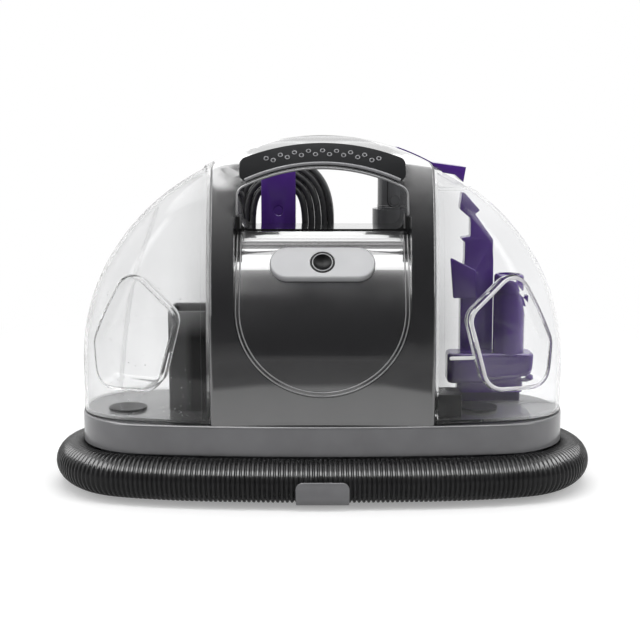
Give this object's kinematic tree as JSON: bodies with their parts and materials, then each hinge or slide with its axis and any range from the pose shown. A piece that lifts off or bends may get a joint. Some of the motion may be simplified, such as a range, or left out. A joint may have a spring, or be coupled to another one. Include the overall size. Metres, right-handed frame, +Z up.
{
  "type": "portable carpet cleaner",
  "caption": "Low domed portable spot carpet cleaner: glossy centre tower with carry handle, clear tank on each side, purple stored tools, hose wrapped round the base and cord wound behind.",
  "frame": {"origin": "on the floor under the middle of the machine", "axes": "+Z up, +X to the right as seen from the front, front towards -Y"},
  "size_m": [0.4484, 0.1997, 0.289],
  "materials": {
    "gunmetal_gloss": "high gloss metallic grey",
    "grey_base": "satin mid grey",
    "black_plastic": "satin black",
    "grip_grey": "satin dark grey",
    "satin_silver": "satin light grey",
    "rubber_black": "dull black",
    "steel": "plain steel",
    "motor_steel": "pressed steel",
    "smoke_clear": "clear smoky",
    "clear": "clear",
    "purple": "gloss purple",
    "float_white": "white",
    "bristle": "nylon bristle"
  },
  "bodies": {
    "machine": {"base_tray": "grey_base", "base_plate": "black_plastic", "rubber_feet": "rubber_black", "base_screws": "steel", "front_housing": "gunmetal_gloss", "rear_housing": "gunmetal_gloss", "front_panel": "gunmetal_gloss", "switch_plate": "satin_silver", "switch_body": "black_plastic", "handle_grip": "grip_grey", "latch_pin": "steel", "tank_nipple": "black_plastic", "fan_shroud": "black_plastic", "motor_can": "motor_steel", "bearing_cap": "motor_steel", "pump_body": "black_plastic", "hose": "rubber_black", "hose_port": "grey_base", "hose_clip": "grey_base", "wand_grip": "grip_grey", "trigger_pin": "steel", "wand_neck": "grip_grey", "wand_clip": "grip_grey", "cord_post": "purple", "lower_hook": "purple", "cord_coil": "rubber_black", "cord_gland": "black_plastic", "cord_lead": "rubber_black", "cord_tail": "rubber_black", "power_plug": "rubber_black", "plug_prongs": "steel", "tool_pegs": "purple"},
    "power_button": {"power_button": "black_plastic"},
    "clean_tank": {"clean_tank": "clear", "clean_valve": "black_plastic"},
    "fill_cap": {"fill_cap": "black_plastic"},
    "dirty_tank": {"dirty_tank": "smoke_clear", "separator_stack": "black_plastic"},
    "tank_float": {"tank_float": "float_white"},
    "drain_cap": {"drain_cap": "black_plastic"},
    "tank_latch": {"tank_latch": "purple"},
    "cord_hook": {"cord_hook": "purple"},
    "wand_trigger": {"wand_trigger": "grip_grey"},
    "wand_release": {"wand_release": "grip_grey"},
    "fan": {"impeller": "black_plastic", "motor_shaft": "steel"},
    "brush_tool": {"brush_tool": "purple", "brush_bristles": "bristle"},
    "slim_tool": {"slim_tool": "purple"}
  },
  "joints": [
    {"name": "power_button_press", "type": "slide", "parent": "machine", "child": "power_button", "axis": [0, 0.7806, -0.625], "range_m": [0, 0.0025], "stiffness_N_per_m": 400},
    {"name": "clean_tank_pull", "type": "slide", "parent": "machine", "child": "clean_tank", "axis": [1, 0, 0], "range_m": [0, 0.16]},
    {"name": "fill_cap_twist", "type": "hinge", "parent": "clean_tank", "child": "fill_cap", "pos_m": [0.129, -0.02, 0.065], "axis": [0, 0, 1], "range_deg": [0, 90]},
    {"name": "dirty_tank_pull", "type": "slide", "parent": "machine", "child": "dirty_tank", "axis": [-1, 0, 0], "range_m": [0, 0.16]},
    {"name": "float_rise", "type": "slide", "parent": "dirty_tank", "child": "tank_float", "axis": [0, 0, 1], "range_m": [0, 0.04]},
    {"name": "drain_cap_twist", "type": "hinge", "parent": "dirty_tank", "child": "drain_cap", "pos_m": [-0.161, -0.02, 0.065], "axis": [0, 0, 1], "range_deg": [0, 90]},
    {"name": "tank_latch_lift", "type": "hinge", "parent": "machine", "child": "tank_latch", "pos_m": [0.061, 0, 0.27645], "axis": [0, -1, 0], "range_deg": [0, 35]},
    {"name": "cord_hook_turn", "type": "hinge", "parent": "machine", "child": "cord_hook", "pos_m": [-0.0382, 0.07, 0.223], "axis": [0, 1, 0], "range_deg": [0, 180]},
    {"name": "trigger_pull", "type": "hinge", "parent": "machine", "child": "wand_trigger", "pos_m": [0.0635, 0.0895, 0.192], "axis": [-1, 0, 0], "range_deg": [0, 8], "stiffness_Nm_per_rad": 0.5},
    {"name": "wand_release_press", "type": "slide", "parent": "machine", "child": "wand_release", "axis": [0, 1, 0], "range_m": [0, 0.003], "stiffness_N_per_m": 300},
    {"name": "fan_spin", "type": "hinge", "parent": "machine", "child": "fan", "pos_m": [0, -0.005, 0.1], "axis": [0, 0, 1], "continuous": true},
    {"name": "brush_tool_lift", "type": "slide", "parent": "machine", "child": "brush_tool", "axis": [0, 0, 1], "range_m": [0, 0.06]},
    {"name": "slim_tool_lift", "type": "slide", "parent": "machine", "child": "slim_tool", "axis": [0, 0, 1], "range_m": [0, 0.06]}
  ]
}
